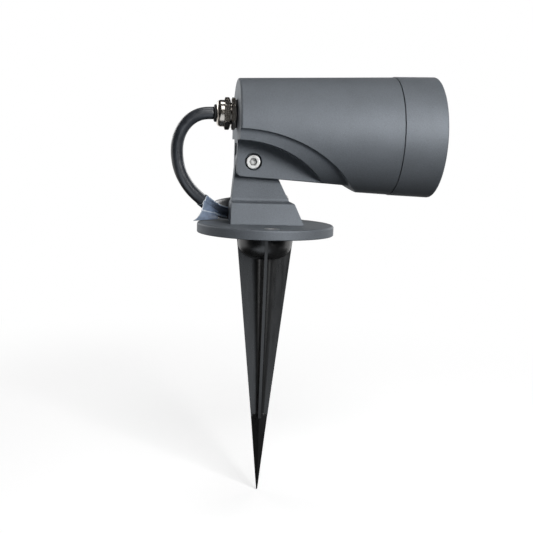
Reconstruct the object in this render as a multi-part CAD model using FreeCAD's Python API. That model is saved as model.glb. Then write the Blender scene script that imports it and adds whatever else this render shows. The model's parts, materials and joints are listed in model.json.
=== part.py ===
import FreeCAD, Part
import math
import os

# Garden spot light on a ground spike. Millimetres, +Z up, the light shines towards +X.
# The origin is the centre of the base plate's underside, which rests on the ground.

V = FreeCAD.Vector

# Base plate
plate_r = 45.0
plate_t = 6.4
plate_edge_r = 1.2
plate_foot_r = 0.5
rim_w = 5.0
recess_h = 3.0
fixing_reach = 35.0
fixing_hole_r = 2.65
fixing_sink_r = 5.2

# Spike and its moulded-in stud
spike_len = 178.0
spike_top_half = 18.9
spike_point_len = 54.7
spike_ramp_deg = 23.0
spike_point_flat = 0.4
fin_t = 2.0
fin_draft_deg = 3.5
fin_cove_r = 8.0
spike_boss_r = 18.0
spike_boss_h = 16.8
spike_boss_edge_r = 10.5
spike_turn_deg = -3.0
spike_flange_r = 22.0
stud_r = 4.0
stud_in_spike = 13.0
stud_in_stand = 11.0
stud_gap = 0.15

# Stand: flared pedestal and tongue
pedestal_h = 14.1
pedestal_l = 48.0
pedestal_w = 24.0
pedestal_top_w = 20.4
pedestal_rear_draft = 0.4
pedestal_front_draft = 6.6
pedestal_edge_r = 1.5
tongue_t = 12.0
tongue_end_r = 10.6
tongue_rear_inset = 0.3
tongue_front_inset = 2.5
tongue_cove_r = 2.6
tongue_front_cove_r = 1.4
stand_screw_reach = 14.0
stand_screw_r = 2.0
stand_screw_head_r = 3.8
stand_screw_grip = 8.0

# Tilt pivot
pivot_x = -10.5
pivot_rise = 26.2
tilt_up = 60.0
tilt_down = 10.0
tilt_spare = 2.0
slot_gap = 0.9
pivot_r = 2.5
pivot_run_gap = 0.08
pivot_head_r = 4.6
pivot_head_h = 2.75
pivot_drive_r = 2.25
pivot_drive_h = 1.6
counterbore_r = 5.3
counterbore_bevel = 0.4
lock_washer_t = 0.9
lock_washer_r = 4.4
friction_washer_t = 0.6
friction_washer_r = 8.0
cheek_t = 6.3
nut_flat = 8.0
nut_h = 3.2

# Head barrel and front ring
head_rise = 19.0
rear_reach = 10.4
barrel_len = 101.6
rear_r = 33.8
seam_r = 38.3
rear_edge_r = 1.4
rear_wall = 5.5
seam_gap = 0.5
ring_len = 27.7
ring_step = 0.3
front_r = 39.5
front_edge_r = 0.9
mouth_wall = 2.6
lip_t = 2.0
lip_w = 4.2
neck_len = 10.3
neck_r = 35.0
thread_len = 5.4
thread_pitch = 1.5
thread_gap = 0.08
bore_r = 31.5

# Scoops on both sides of the arm, and the arm's underside
scoop_rise = 1.8
scoop_arc_r = 0.94 * barrel_len
scoop_depth = 2.8
scoop_cove_r = 3.0
ledge_drop = 5.2
ledge_arc_r = 0.709 * barrel_len
under_drop = 28.1
under_slope = 3.5
step_reach = 0.717 * barrel_len
step_slope = 33.0
arm_corner_r = 3.4

# Rear chamber, light engine and driver
chamber_r = 26.0
chamber_drop = 1.7
shoulder_back = 24.6
led_plate_t = 4.0
led_plate_gap = 0.2
led_screw_ring_r = 28.75
led_screw_r = 1.5
led_screw_head_r = 2.6
led_screw_head_h = 1.8
led_screw_grip = 6.0
pad_side = 24.0
pad_t = 0.4
board_side = 22.0
board_t = 1.2
emitter_r = 8.0
emitter_t = 0.6
holder_r = 21.0
holder_t = 5.0
holder_window_r = 8.6
holder_screw_reach = 16.5
reflector_wall = 1.2
reflector_flange_t = 1.2
reflector_bulge = 5.5
driver_front_gap = 10.0
driver_w = 36.0
driver_h = 18.0
driver_reach = 25.0
driver_edge_r = 2.0

# Window
glass_t = 4.0
glass_gap = 0.4
gasket_t = 1.2
o_ring_r = 1.0
o_ring_squeeze = 0.05
o_ring_set = 2.7

# Cable gland, on the rear face above the barrel's axis
gland_rise = 11.1
gland_flat = 18.0
gland_gasket_t = 0.8
gland_hex_t = 3.0
gland_gap = 0.7
gland_nut_t = 3.8
gland_dome_r = 8.6
gland_dome_l = 4.9
gland_lip_l = 1.6
gland_thread_r = 8.0
gland_neck_r = 7.0
gland_seal_r = 5.9
gland_mouth_r = 5.6
gland_tail = 11.0
locknut_flat = 20.0
locknut_t = 3.4
play = 0.05

# Wiring
wire_r = 1.3
wire_bundle_r = 1.6
wire_spread = 2.6
led_wire_r = 0.8
led_wire_spread = 3.0
earth_x = -4.5
earth_y = 19.5
earth_screw_r = 1.5
earth_head_r = 2.8
earth_head_h = 1.8
earth_lug_t = 0.8
earth_lug_r = 3.4
earth_barrel_r = 1.9
earth_barrel_l = 4.0
earth_grip = 4.0

# Cable: 8 mm rubber, points chosen by hand along the photographed arch
cord_r = 4.0
cord_exit_points = [
    (-41.0, 0.0, 76.8),
    (-47.2, 0.0, 74.9),
    (-52.6, 0.2, 70.8),
    (-56.6, 0.6, 65.0),
    (-58.9, 1.2, 57.4),
    (-58.9, 2.0, 48.6),
    (-57.0, 2.9, 39.6),
    (-52.6, 4.6, 31.2),
    (-46.6, 6.8, 24.0),
]
cord_rest_points = [
    (-32.5, 13.2, 12.9),
    (-23.0, 17.2, 10.8),
]
cord_joint_share = 0.36
coil_lead_in = 10.0
coil_x = -6.2
coil_y = 42.7
coil_r = 23.2
coil_start_deg = -80.0
coil_step_deg = 80.0
coil_steps = 6
coil_climb_from = 2.5
coil_climb_to = 4.5
coil_layer = 8.8
cord_lift = 0.3
core_len = 14.0
core_lead_in = 4.0
core_bend_r = 16.0
core_r = 1.35
core_bundle_r = 1.9
core_fan = 1.3
core_tip_len = 6.0
core_tip_r = 0.75
label_t = 0.3
label_len = 8.4
label_slant = 2.9
label_lift = 0.9
label_gap = 0.1
tie_step = 1.375
tie_w = 3.6
tie_t = 0.8
tie_gap = 0.2
tie_head_w = 5.6
tie_head_h = 5.0
tie_head_t = 3.4

# Places that follow from the sizes above
ledge_z = plate_t + pedestal_h
pivot_z = ledge_z + pivot_rise
axis_z = pivot_z + head_rise
rear_x = pivot_x - rear_reach
seam_x = rear_x + barrel_len
ring_x = seam_x + seam_gap
front_x = seam_x + ring_len
neck_x = seam_x + neck_len
shoulder_x = seam_x - shoulder_back
glass_x = neck_x + gasket_t
lip_x = glass_x + glass_t + play
pocket_r = neck_r + thread_gap
land_x = neck_x - thread_len
land_r = neck_r + o_ring_r / 2 + play
slot_w = tongue_t + 2 * friction_washer_t + 4 * play
cheek_y = slot_w / 2 + cheek_t
gland_z = axis_z + gland_rise
chamber_z = axis_z - chamber_drop
wall_x = rear_x + rear_wall
holder_x = shoulder_x + led_plate_t
taper = (seam_r - rear_r) / barrel_len
clear = 4 * plate_r
cut_over = plate_r / 3
gland_hex_x = rear_x - gland_gasket_t - gland_hex_t
gland_nut_x = gland_hex_x - gland_gap - gland_nut_t
gland_end_x = gland_nut_x - gland_dome_l
cord_exit_x = gland_end_x - gland_lip_l
cord_z = plate_t + cord_lift + cord_r


def box(x0, x1, y0, y1, z0, z1):
    return Part.makeBox(x1 - x0, y1 - y0, z1 - z0, V(x0, y0, z0))


def rod_x(r, x0, x1, y=0.0, z=0.0):
    return Part.makeCylinder(r, x1 - x0, V(x0, y, z), V(1, 0, 0))


def rod_y(r, y0, y1, x, z):
    return Part.makeCylinder(r, y1 - y0, V(x, y0, z), V(0, 1, 0))


def rod_z(r, z0, z1, x=0.0, y=0.0):
    return Part.makeCylinder(r, z1 - z0, V(x, y, z0))


def hexagon(flat, length, at, along):
    """A hexagon bar of the given width across flats, from a point along an axis."""
    corner_r = flat / math.sqrt(3)
    turns = [k * math.pi / 3 for k in range(7)]
    prism = Part.makePolygon([V(corner_r * math.cos(t), corner_r * math.sin(t), 0) for t in turns])
    bar = Part.Face(prism).extrude(V(0, 0, length))
    bar.Placement = FreeCAD.Placement(at, FreeCAD.Rotation(V(0, 0, 1), along))
    return bar


def side_plate(edges, y0, y1):
    """A plate from edges drawn in the XZ plane."""
    face = Part.Face(Part.Wire([e.toShape() if hasattr(e, "toShape") else e for e in edges]))
    face.translate(V(0, y0, 0))
    return face.extrude(V(0, y1 - y0, 0))


def lines(points):
    return [Part.LineSegment(a, b) for a, b in zip(points, points[1:])]


def turned(points, z):
    """A body of revolution about the X direction at height z, from (x, radius) points."""
    outline = Part.makePolygon([V(x, 0, z + r) for x, r in points + points[:1]])
    return Part.Face(outline).revolve(V(0, 0, z), V(1, 0, 0), 360)


def edges_near(shape, test):
    return [e for e in shape.Edges if all(test(v.Point) for v in e.Vertexes) and test(e.CenterOfMass)]


def circle_edges(shape, x, r, z):
    """The full circle edges about an X axis at the given place and radius."""
    found = []
    for e in shape.Edges:
        curve = e.Curve
        if isinstance(curve, Part.Circle) and abs(curve.Center.x - x) < 1e-4 and abs(curve.Radius - r) < 1e-4:
            if abs(curve.Center.z - z) < 1e-4:
                found.append(e)
    return found


def unit(v):
    return v * (1.0 / v.Length)


def smooth_route(name, points):
    """Straight runs joined by tangent arcs as large as the runs allow."""
    edges = []
    radii = []
    start = points[0]
    for a, b, c in zip(points, points[1:], points[2:]):
        back = unit(a - b)
        ahead = unit(c - b)
        half = (math.pi - back.getAngle(ahead)) / 2
        cut = 0.45 * min((a - b).Length, (c - b).Length)
        radius = cut / math.tan(half)
        middle = b + unit(back + ahead) * (radius / math.cos(half) - radius)
        edges.append(Part.LineSegment(start, b + back * cut))
        edges.append(Part.Arc(b + back * cut, middle, b + ahead * cut))
        start = b + ahead * cut
        radii.append(round(radius, 1))
    edges.append(Part.LineSegment(start, points[-1]))
    print(name, "bend radii", radii)
    return Part.Wire([e.toShape() for e in edges])


def tube(wire, r):
    """A round tube along a wire."""
    first = wire.OrderedEdges[0]
    start = first.valueAt(first.FirstParameter)
    ring = Part.Wire([Part.makeCircle(r, start, first.tangentAt(first.FirstParameter))])
    return wire.makePipeShell([ring], True, False)


def volume_ratio(solid, wire, r):
    return round(solid.Volume / (math.pi * r * r * wire.Length), 4)


def arc_from(start, heading, end):
    """The arc that leaves a point in a direction and ends at another."""
    chord = end - start
    half = heading.getAngle(chord) / 2
    middle = start + unit(unit(heading) + unit(chord)) * (chord.Length / 2 / math.cos(half))
    return Part.Arc(start, middle, end)


def biarc(p, tp, q, tq):
    """Two arcs that join two points and their directions smoothly."""
    v = q - p
    t = tp + tq
    k = 2 * (1 - tp.dot(tq))
    d = (-v.dot(t) + math.sqrt(v.dot(t) ** 2 + k * v.dot(v))) / k
    joint = (p + q + (tp - tq) * d) * 0.5
    back = arc_from(q, tq * -1, joint)
    halfway = back.value((back.FirstParameter + back.LastParameter) / 2)
    return [arc_from(p, tp, joint), Part.Arc(joint, halfway, q)]


def make_base_plate():
    plate = rod_z(plate_r, 0, plate_t)
    top = edges_near(plate, lambda p: abs(p.z - plate_t) < 1e-4)
    plate = plate.makeFillet(plate_edge_r, top)
    foot = [e for e in plate.Edges if isinstance(e.Curve, Part.Circle) and abs(e.Curve.Center.z) < 1e-4]
    plate = plate.makeFillet(plate_foot_r, foot)
    plate = plate.cut(rod_z(plate_r - rim_w, 0, recess_h))
    plate = plate.cut(rod_z(stud_r + stud_gap, 0, plate_t))
    sink_h = fixing_sink_r - fixing_hole_r
    for side in (-1, 1):
        y = side * fixing_reach
        plate = plate.cut(rod_z(fixing_hole_r, 0, plate_t, 0, y))
        plate = plate.cut(Part.makeCone(fixing_hole_r, fixing_sink_r, sink_h, V(0, y, plate_t - sink_h)))
        plate = plate.cut(stand_screw(side, play))
    return plate


def stand_screw(side, grow=0.0):
    """A countersunk screw from the recess up into the stand, or its hole when grown."""
    x = side * stand_screw_reach
    head_h = stand_screw_head_r - stand_screw_r
    head = Part.makeCone(stand_screw_head_r + grow, stand_screw_r + grow, head_h, V(x, 0, recess_h))
    shank = rod_z(stand_screw_r + grow, recess_h, plate_t + stand_screw_grip + grow, x)
    return head.fuse(shank).removeSplitter()


def make_stand_screws():
    drive = 0.3 * stand_screw_head_r
    made = []
    for side in (-1, 1):
        socket = hexagon(2 * drive, drive, V(side * stand_screw_reach, 0, recess_h), V(0, 0, 1))
        made.append(stand_screw(side).cut(socket))
    return Part.makeCompound(made)


def pedestal_ends():
    """The X places of the pedestal's top edges."""
    return -pedestal_l / 2 + pedestal_rear_draft, pedestal_l / 2 - pedestal_front_draft


def rectangle_at(x0, x1, half_y, z):
    corners = [V(x0, -half_y, z), V(x1, -half_y, z), V(x1, half_y, z), V(x0, half_y, z)]
    return Part.makePolygon(corners + corners[:1])


def tangent_angle(foot_x, side):
    """The angle on the tongue's round end where the edge from its foot touches."""
    dx = foot_x - pivot_x
    dz = ledge_z - pivot_z
    return math.atan2(dz, dx) + side * math.acos(tongue_end_r / math.hypot(dx, dz))


def on_pivot(r, angle):
    return V(pivot_x + r * math.cos(angle), 0, pivot_z + r * math.sin(angle))


def tongue_feet():
    rear, front = pedestal_ends()
    return rear + tongue_rear_inset, front - tongue_front_inset


def make_stand():
    rear, front = pedestal_ends()
    foot = rectangle_at(-pedestal_l / 2, pedestal_l / 2, pedestal_w / 2, plate_t)
    top = rectangle_at(rear, front, pedestal_top_w / 2, ledge_z)
    pedestal = Part.makeLoft([foot, top], True, True)
    pedestal = pedestal.makeFillet(pedestal_edge_r, edges_near(pedestal, lambda p: p.z > plate_t + 1e-4))
    rear_foot, front_foot = tongue_feet()
    a = tangent_angle(front_foot, 1)
    b = tangent_angle(rear_foot, -1) + 2 * math.pi
    low = ledge_z - pedestal_edge_r
    corner = V(front_foot, 0, ledge_z)
    up = unit(on_pivot(tongue_end_r, a) - corner)
    half = math.acos(up.x) / 2
    reach = tongue_front_cove_r / math.tan(half)
    toe = corner + V(reach, 0, 0)
    heel = corner + up * reach
    waist = corner + unit(up + V(1, 0, 0)) * (tongue_front_cove_r / math.sin(half) - tongue_front_cove_r)
    outline = [
        Part.LineSegment(V(rear_foot, 0, low), V(toe.x, 0, low)),
        Part.LineSegment(V(toe.x, 0, low), toe),
        Part.Arc(toe, waist, heel),
        Part.LineSegment(heel, on_pivot(tongue_end_r, a)),
        Part.Arc(on_pivot(tongue_end_r, a), on_pivot(tongue_end_r, (a + b) / 2), on_pivot(tongue_end_r, b)),
        Part.LineSegment(on_pivot(tongue_end_r, b), V(rear_foot, 0, ledge_z)),
        Part.LineSegment(V(rear_foot, 0, ledge_z), V(rear_foot, 0, low)),
    ]
    tongue = side_plate(outline, -tongue_t / 2, tongue_t / 2)
    wide = tongue_t / 2 + tongue_cove_r
    foot = side_plate(outline, -wide, wide).common(box(-clear, clear, -wide, wide, low, ledge_z + tongue_cove_r))
    for side in (-1, 1):
        foot = foot.cut(rod_x(tongue_cove_r, -clear, clear, side * wide, ledge_z + tongue_cove_r))
    stand = pedestal.multiFuse([tongue, foot]).removeSplitter()
    stand = stand.cut(rod_y(pivot_r + pivot_run_gap, -tongue_t, tongue_t, pivot_x, pivot_z))
    stand = stand.cut(rod_z(stud_r + play, plate_t, plate_t + stud_in_stand + play))
    for side in (-1, 1):
        stand = stand.cut(stand_screw(side, play))
    return stand


def spike_half(z):
    """Half the spike's width across its fins, at a height below the plate."""
    return spike_top_half * (1 + z / spike_len)


def fin_ring(half, z):
    """The cross of the four fins at one height, with coves where they meet."""
    inner = fin_t / 2
    cove_r = fin_cove_r * (half - inner) / (spike_top_half - inner)
    sin, cos = math.sin(math.radians(fin_draft_deg)), math.cos(math.radians(fin_draft_deg))
    centre = (cove_r + half * sin + inner * cos) / (sin + cos)
    wide, thin = centre - cove_r * sin, centre - cove_r * cos
    bend = centre - cove_r / math.sqrt(2)
    edges = []
    for k in range(4):
        quarter = [
            V(half, -inner, z),
            V(half, inner, z),
            V(wide, thin, z),
            V(bend, bend, z),
            V(thin, wide, z),
            V(inner, half, z),
        ]
        nose, side, start, middle, end, out = [
            FreeCAD.Rotation(V(0, 0, 1), 90 * k).multVec(p) for p in quarter
        ]
        edges += lines([nose, side, start])
        edges.append(Part.Arc(start, middle, end))
        edges += lines([end, out])
    return Part.Wire([e.toShape() for e in edges])


def make_spike():
    point_z = spike_point_len - spike_len
    wide = spike_half(point_z)
    fins = Part.makeLoft([fin_ring(spike_top_half, 0), fin_ring(wide, point_z)], True, True)
    boss = rod_z(spike_boss_r, -spike_boss_h, 0)
    boss = boss.makeFillet(spike_boss_edge_r, edges_near(boss, lambda p: abs(p.z + spike_boss_h) < 1e-4))
    corners = [V(1, 0, 0), V(0, 1, 0), V(-1, 0, 0), V(0, -1, 0), V(1, 0, 0)]
    rings = [
        Part.makePolygon([c * half + V(0, 0, z) for c in corners])
        for half, z in ((wide, point_z), (spike_point_flat, -spike_len))
    ]
    point = Part.makeLoft(rings, True, True)
    fall = wide * math.tan(math.radians(spike_ramp_deg))
    ramp = lines([V(0, 0, point_z), V(wide, 0, point_z - fall), V(wide, 0, point_z), V(0, 0, point_z)])
    for turn in (90, -90):
        wedge = side_plate(ramp, -clear, clear)
        wedge.rotate(V(0, 0, 0), V(0, 0, 1), turn)
        point = point.cut(wedge)
    nose = fin_ring(wide, point_z)
    tip = Part.makeLoft([nose, fin_ring(spike_half(point_z - fall), point_z - fall)], True, True)
    flange = rod_z(spike_flange_r, 0, recess_h)
    spike = flange.multiFuse([fins, tip, boss, point]).removeSplitter()
    spike.rotate(V(0, 0, 0), V(0, 0, 1), spike_turn_deg)
    return spike.cut(rod_z(stud_r, -stud_in_spike, recess_h))


def make_spike_stud():
    return rod_z(stud_r, -stud_in_spike, plate_t + stud_in_stand)


def head_profile(drop=0.0, behind=0.0):
    """The barrel's cone, or the same cone a given depth under its skin and continued behind it."""
    start_r = rear_r - drop - taper * behind
    start = V(rear_x - behind, 0, axis_z)
    return Part.makeCone(start_r, seam_r - drop, barrel_len + behind, start, V(1, 0, 0))


def below_arc(arc_r, start_z, y0, y1):
    """Everything below an arc that leaves the rear face level and falls towards the front."""
    low = axis_z - rear_r - cut_over
    centre_z = start_z - arc_r
    end_x = rear_x + math.sqrt(arc_r**2 - (low - centre_z) ** 2)
    angle = math.atan2(low - centre_z, end_x - rear_x)
    half = (angle + math.pi / 2) / 2
    start = V(rear_x, 0, start_z)
    middle = V(rear_x + arc_r * math.cos(half), 0, centre_z + arc_r * math.sin(half))
    end = V(end_x, 0, low)
    rear = rear_x - cut_over
    edges = [Part.Arc(start, middle, end)]
    edges += lines([end, V(rear, 0, low), V(rear, 0, start_z), start])
    return side_plate(edges, y0, y1)


def scoop_cut():
    """The recess along the scoop's upper edge, with a cove where it meets the skin's edge."""
    top = axis_z + scoop_rise
    band = below_arc(scoop_arc_r, top, -clear, clear).cut(head_profile(scoop_depth, cut_over))

    def on_cove(p):
        cone_r = rear_r - scoop_depth + taper * (p.x - rear_x)
        on_cone = abs(math.hypot(p.y, p.z - axis_z) - cone_r) < 1e-3
        on_arc = abs(math.hypot(p.x - rear_x, p.z - top + scoop_arc_r) - scoop_arc_r) < 1e-3
        return on_cone and (on_arc or abs(p.z - top) < 1e-3)

    cove = [e for e in band.Edges if all(on_cove(p) for p in e.discretize(5))]
    return band.makeFillet(scoop_cove_r, cove)


def under_cut():
    """Everything below the arm's underside, with its round rear corner and its slanted front step."""
    slope = math.radians(under_slope)
    corner = V(rear_x, 0, axis_z - under_drop)
    along = V(math.cos(slope), 0, -math.sin(slope))
    half = (math.pi / 2 + slope) / 2
    reach = arm_corner_r / math.tan(half)
    up = corner + V(0, 0, reach)
    front = corner + along * reach
    middle = corner + unit(along + V(0, 0, 1)) * (arm_corner_r / math.sin(half) - arm_corner_r)
    low = axis_z - rear_r - cut_over
    step = corner + along * (step_reach / math.cos(slope))
    fall = (step.z - low) / math.tan(math.radians(step_slope))
    far = rear_x - cut_over
    edges = [Part.Arc(up, middle, front)]
    edges += lines([front, step, V(step.x + fall, 0, low), V(far, 0, low), V(far, 0, up.z), up])
    return side_plate(edges, -clear, clear)


def slot_cut():
    """The fork's slot: round about the pivot, open behind and below, with room for the tilt down."""
    r = tongue_end_r + slot_gap
    a = tangent_angle(tongue_feet()[1], 1) + math.radians(tilt_down + tilt_spare)
    low = ledge_z
    touch = on_pivot(r, a)
    foot = touch + V(math.sin(a), 0, -math.cos(a)) * ((touch.z - low) / math.cos(a))
    top = on_pivot(r, math.pi / 2)
    far = rear_x - cut_over
    edges = [Part.Arc(top, on_pivot(r, (a + math.pi / 2) / 2), touch)]
    edges += lines([touch, foot, V(far, 0, low), V(far, 0, top.z), top])
    return side_plate(edges, -slot_w / 2, slot_w / 2)


def led_screw_places():
    ring = led_screw_ring_r
    return [
        (ring * math.cos(math.radians(d)), axis_z + ring * math.sin(math.radians(d))) for d in (90, 210, 330)
    ]


def make_head_housing():
    body = head_profile()
    body = body.makeFillet(rear_edge_r, circle_edges(body, rear_x, rear_r, axis_z))
    body = body.fuse(rod_x(neck_r, seam_x, neck_x, 0, axis_z))
    body = body.cut(scoop_cut())
    for side in (-1, 1):
        y0, y1 = sorted((side * cheek_y, side * clear))
        body = body.cut(below_arc(ledge_arc_r, axis_z - ledge_drop, y0, y1))
    body = body.cut(under_cut()).cut(slot_cut())
    chamber = rod_x(chamber_r, wall_x, shoulder_x, 0, axis_z)
    body = body.cut(chamber.common(box(wall_x, shoulder_x, -clear, clear, chamber_z, axis_z + clear)))
    body = body.cut(rod_x(bore_r, shoulder_x, neck_x, 0, axis_z))
    body = body.cut(rod_x(gland_thread_r + play, rear_x, wall_x, 0, gland_z))
    for y, z in led_screw_places():
        body = body.cut(rod_x(led_screw_r + play, shoulder_x - led_screw_grip - play, shoulder_x, y, z))
    groove_x = seam_x + o_ring_set
    groove = rod_x(neck_r, groove_x - 1.2 * o_ring_r, groove_x + 1.2 * o_ring_r, 0, axis_z)
    body = body.cut(groove.cut(rod_x(neck_r - 1.5 * o_ring_r, seam_x, neck_x, 0, axis_z)))
    body = body.cut(rod_y(pivot_r + 2 * pivot_run_gap, -cheek_y, cheek_y, pivot_x, pivot_z))
    seat = pivot_head_h + lock_washer_t
    body = body.cut(rod_y(counterbore_r, -cheek_y, seat - cheek_y, pivot_x, pivot_z))
    mouth = V(pivot_x, -cheek_y, pivot_z)
    mouth_r = counterbore_r + counterbore_bevel
    bevel = Part.makeCone(mouth_r, counterbore_r, counterbore_bevel, mouth, V(0, 1, 0))
    body = body.cut(bevel)
    pocket = hexagon(nut_flat + 2 * play, nut_h + play, V(pivot_x, cheek_y, pivot_z), V(0, -1, 0))
    body = body.cut(pocket)
    hole = rod_z(earth_screw_r + play, chamber_z - earth_grip - play, chamber_z, earth_x, earth_y)
    return body.cut(hole)


def make_front_ring():
    mouth_r = front_r - mouth_wall
    lip_r = pocket_r - lip_w
    ring = turned(
        [
            (ring_x, land_r),
            (ring_x, seam_r + ring_step),
            (front_x, front_r),
            (front_x, mouth_r),
            (lip_x + lip_t, (mouth_r + lip_r) / 2),
            (lip_x + lip_t, lip_r),
            (lip_x, lip_r),
            (lip_x, pocket_r),
            (land_x, pocket_r),
            (land_x, land_r),
        ],
        axis_z,
    )
    rims = circle_edges(ring, front_x, front_r, axis_z) + circle_edges(ring, front_x, mouth_r, axis_z)
    return ring.makeFillet(front_edge_r, rims)


def disc(r, x0, t, bevel):
    x1 = x0 + t
    rim = [(x0, r - bevel), (x0 + bevel, r), (x1 - bevel, r), (x1, r - bevel)]
    return turned([(x0, 0)] + rim + [(x1, 0)], axis_z)


def pipe_ring(outer, inner, x0, x1, z):
    return rod_x(outer, x0, x1, 0, z).cut(rod_x(inner, x0, x1, 0, z))


def make_front_glass():
    return disc(pocket_r - glass_gap, glass_x, glass_t, glass_gap)


def make_glass_gasket():
    return pipe_ring(pocket_r - glass_gap, bore_r, neck_x, glass_x, axis_z)


def make_neck_o_ring():
    mid = neck_r - 1.5 * o_ring_r + o_ring_r
    return Part.makeTorus(mid, o_ring_r - o_ring_squeeze, V(seam_x + o_ring_set, 0, axis_z), V(1, 0, 0))


def make_led_plate():
    plate = rod_x(bore_r - led_plate_gap, shoulder_x, holder_x, 0, axis_z)
    for y, z in led_screw_places():
        plate = plate.cut(rod_x(led_screw_r + 2 * play, shoulder_x, holder_x, y, z))
    for side in (-1, 1):
        y = side * holder_screw_reach
        plate = plate.cut(rod_x(led_screw_r + play, shoulder_x, holder_x, y, axis_z))
        wire_y = side * led_wire_spread
        plate = plate.cut(rod_x(1.5 * led_wire_r, shoulder_x, holder_x, wire_y, led_wire_z()))
    return plate


def pan_screw(y, z, seat_x, grip, r, head_r, head_h):
    """A pan-head screw along X, its head towards the front, with a hexagon socket."""
    head = rod_x(head_r, seat_x, seat_x + head_h, y, z)
    head = head.makeFillet(0.45 * head_h, circle_edges(head, seat_x + head_h, head_r, z))
    socket = hexagon(head_r, 0.6 * head_h, V(seat_x + head_h, y, z), V(-1, 0, 0))
    return head.fuse(rod_x(r, seat_x - grip, seat_x, y, z)).cut(socket)


def make_led_plate_screws():
    grip = led_plate_t + led_screw_grip
    made = []
    for y, z in led_screw_places():
        made.append(pan_screw(y, z, holder_x, grip, led_screw_r, led_screw_head_r, led_screw_head_h))
    return Part.makeCompound(made)


def square_at(side, x0, x1):
    return box(x0, x1, -side / 2, side / 2, axis_z - side / 2, axis_z + side / 2)


def board_x():
    return holder_x + pad_t


def make_thermal_pad():
    return square_at(pad_side, holder_x, board_x())


def make_led_board():
    return square_at(board_side, board_x(), board_x() + board_t)


def make_led_emitter():
    x = board_x() + board_t
    return rod_x(emitter_r, x, x + emitter_t, 0, axis_z)


def make_led_holder():
    holder = rod_x(holder_r, holder_x, holder_x + holder_t, 0, axis_z)
    holder = holder.makeFillet(0.2 * holder_t, circle_edges(holder, holder_x + holder_t, holder_r, axis_z))
    holder = holder.cut(square_at(pad_side + 8 * play, holder_x, board_x() + board_t + play))
    window_x = board_x() + board_t
    window = Part.makeCone(
        holder_window_r,
        holder_window_r + holder_t / 2,
        holder_x + holder_t - window_x,
        V(window_x, 0, axis_z),
        V(1, 0, 0),
    )
    holder = holder.cut(window)
    for side in (-1, 1):
        y = side * holder_screw_reach
        holder = holder.cut(rod_x(led_screw_r + 2 * play, holder_x, holder_x + holder_t, y, axis_z))
        head_room = rod_x(led_screw_head_r + 4 * play, screw_seat_x(), holder_x + holder_t, y, axis_z)
        holder = holder.cut(head_room)
        wire_y = side * led_wire_spread
        holder = holder.cut(rod_x(led_wire_r + play, holder_x, led_wire_end_x() + play, wire_y, led_wire_z()))
    return holder


def screw_seat_x():
    return holder_x + holder_t - led_screw_head_h - play


def make_holder_screws():
    seat_x = screw_seat_x()
    grip = seat_x - shoulder_x - play
    made = []
    for side in (-1, 1):
        y = side * holder_screw_reach
        made.append(pan_screw(y, axis_z, seat_x, grip, led_screw_r, led_screw_head_r, led_screw_head_h))
    return Part.makeCompound(made)


def make_reflector():
    base_x = holder_x + holder_t
    base_r = holder_window_r + holder_t / 2
    flange_x = neck_x - reflector_flange_t
    mouth_r = bore_r - 2 * reflector_wall
    base = V(base_x, 0, axis_z + base_r)
    mouth = V(flange_x, 0, axis_z + mouth_r)
    across = unit(V(base.z - mouth.z, 0, mouth.x - base.x))
    bowl = (base + mouth) * 0.5 + across * reflector_bulge
    out = across * reflector_wall
    edge_r = bore_r - led_plate_gap
    inner = Part.Arc(base, bowl, mouth)
    outer = Part.Arc(mouth + V(0, 0, reflector_wall), bowl + out, base + V(0, 0, reflector_wall))
    edges = [inner]
    edges += lines(
        [
            mouth,
            V(neck_x, 0, mouth.z),
            V(neck_x, 0, axis_z + edge_r),
            V(flange_x, 0, axis_z + edge_r),
            mouth + V(0, 0, reflector_wall),
        ]
    )
    edges += [outer] + lines([base + V(0, 0, reflector_wall), base])
    face = Part.Face(Part.Wire([e.toShape() for e in edges]))
    return face.revolve(V(0, 0, axis_z), V(1, 0, 0), 360)


def driver_x():
    return rear_x + driver_reach


def driver_end_x():
    return shoulder_x - driver_front_gap


def make_driver():
    z = chamber_z + pad_t
    case = box(driver_x(), driver_end_x(), -driver_w / 2, driver_w / 2, z, z + driver_h)
    return case.makeFillet(driver_edge_r, edges_near(case, lambda p: p.z > z + 1e-4))


def make_driver_pad():
    inset = 2 * driver_edge_r
    half = driver_w / 2 - inset
    return box(driver_x() + inset, driver_end_x() - inset, -half, half, chamber_z, chamber_z + pad_t)


def make_gland_gasket():
    return pipe_ring(gland_flat / 2, gland_thread_r + play, rear_x - gland_gasket_t, rear_x, gland_z)


def gland_bore(x0, x1, r):
    return rod_x(r, x0, x1, 0, gland_z)


def chamfered_hexagon(flat, x0, x1):
    """A hexagon nut or flange along X whose corners are turned off."""
    bar = hexagon(flat, x1 - x0, V(x0, 0, gland_z), V(1, 0, 0))
    corner = flat / math.sqrt(3)
    cut = corner - flat / 2
    turned_bar = turned(
        [
            (x0, 0),
            (x0, flat / 2),
            (x0 + cut / 2, corner),
            (x1 - cut / 2, corner),
            (x1, flat / 2),
            (x1, 0),
        ],
        gland_z,
    )
    return bar.common(turned_bar)


def make_gland_body():
    body = chamfered_hexagon(gland_flat, gland_hex_x, rear_x - gland_gasket_t)
    body = body.fuse(gland_bore(rear_x - gland_gasket_t, wall_x - rear_wall + gland_tail, gland_thread_r))
    body = body.fuse(gland_bore(gland_nut_x, gland_hex_x, gland_neck_r))
    body = body.cut(gland_bore(gland_nut_x, gland_hex_x, gland_seal_r + play))
    return body.cut(gland_bore(gland_hex_x, rear_x + gland_tail, cord_r + 4 * play))


def make_gland_locknut():
    nut = chamfered_hexagon(locknut_flat, wall_x, wall_x + locknut_t)
    return nut.cut(gland_bore(wall_x, wall_x + locknut_t, gland_thread_r + play))


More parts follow.
